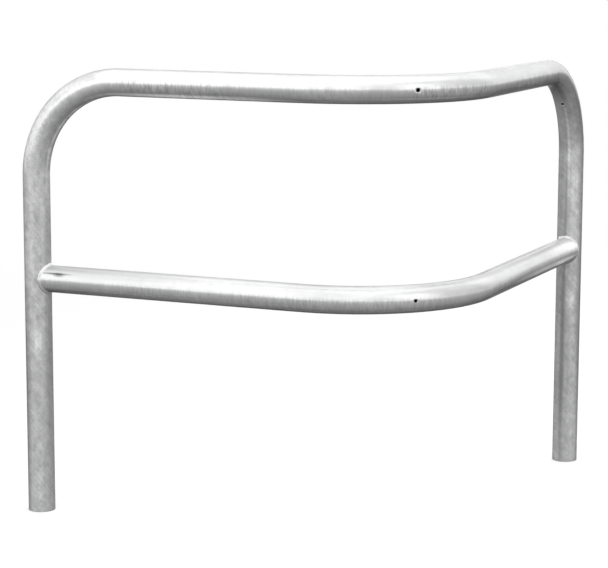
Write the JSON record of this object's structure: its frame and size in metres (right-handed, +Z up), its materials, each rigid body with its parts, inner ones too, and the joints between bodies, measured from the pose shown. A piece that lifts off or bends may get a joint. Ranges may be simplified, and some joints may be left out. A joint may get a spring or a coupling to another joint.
{
  "type": "corner protection hoop",
  "caption": "Bent round-tube hoop that guards a corner: upright posts, a rail that turns the corner, a matching welded crossbar and open feet to be set in the ground.",
  "frame": {"origin": "on the ground, at the bottom centre of the bounding box of the hoop", "axes": "+Z up; the left leg runs from the outer corner along -X at the -Y side, the right leg runs from it along +Y at the +X side; the outer corner points to +X and -Y"},
  "size_m": [1.0046, 1.0045, 1],
  "materials": {
    "galvanised_tube": "hot-dip galvanised: satin grey zinc with soft cloudy mottling, pale runs and a bright sheen on top",
    "galvanised_weld": "weld bead under a thick, smooth and brighter coat of zinc"
  },
  "bodies": {
    "root": {"hoop_tube": "galvanised_tube", "crossbar": "galvanised_tube", "left_weld": "galvanised_weld", "right_weld": "galvanised_weld"}
  },
  "joints": []
}
